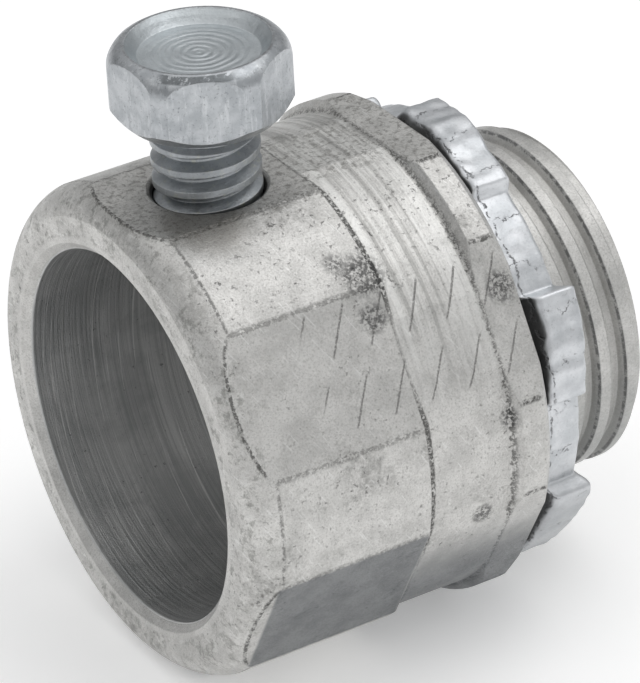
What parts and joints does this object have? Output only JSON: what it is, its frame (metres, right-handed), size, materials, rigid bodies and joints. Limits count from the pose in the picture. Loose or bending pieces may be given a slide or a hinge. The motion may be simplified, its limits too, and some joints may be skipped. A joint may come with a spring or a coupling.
{
  "type": "set-screw conduit connector",
  "caption": "Zinc-plated steel set-screw connector: a hex-bar socket clamps rigid conduit under a hex-head screw, and a threaded nose takes a lugged locknut",
  "frame": {"origin": "where the set screw's axis crosses the conduit axis, inside the socket", "axes": "X is the conduit axis, from the socket's mouth to the threaded nose; Z is the set screw's axis, pointing out of the body"},
  "size_m": [0.0289, 0.0296, 0.0374],
  "materials": {
    "zinc_matte": "matte zinc plate with pits, stains and fine turning marks",
    "zinc_bright": "bright bluish zinc plate, satin with scuffs",
    "zinc_blue": "bluish zinc plate with crumpled sheared edges"
  },
  "bodies": {
    "fitting": {"connector_body": "zinc_matte"},
    "screw_travel": {"set_screw_point": "zinc_bright"},
    "screw": {"set_screw": "zinc_bright"},
    "nut_travel": {"locknut_seat": "zinc_blue"},
    "nut": {"locknut": "zinc_blue"}
  },
  "joints": [
    {"name": "screw_advance", "type": "slide", "parent": "fitting", "child": "screw_travel", "axis": [0, 0, 1], "range_m": [-0.0042, 0.00155]},
    {"name": "screw_turn", "type": "hinge", "parent": "screw_travel", "child": "screw", "pos_m": [0, 0, 0.0115], "axis": [0, 0, 1], "range_deg": [-1200, 440]},
    {"name": "nut_advance", "type": "slide", "parent": "fitting", "child": "nut_travel", "axis": [1, 0, 0], "range_m": [0, 0.0054]},
    {"name": "nut_turn", "type": "hinge", "parent": "nut_travel", "child": "nut", "pos_m": [0.0131, 0, 0], "axis": [1, 0, 0], "range_deg": [0, 1080]}
  ],
  "couplings": [
    {"joint": "screw_turn", "follows": "screw_advance", "rad_per_m": 4947.4},
    {"joint": "nut_turn", "follows": "nut_advance", "rad_per_m": 3463.2}
  ]
}
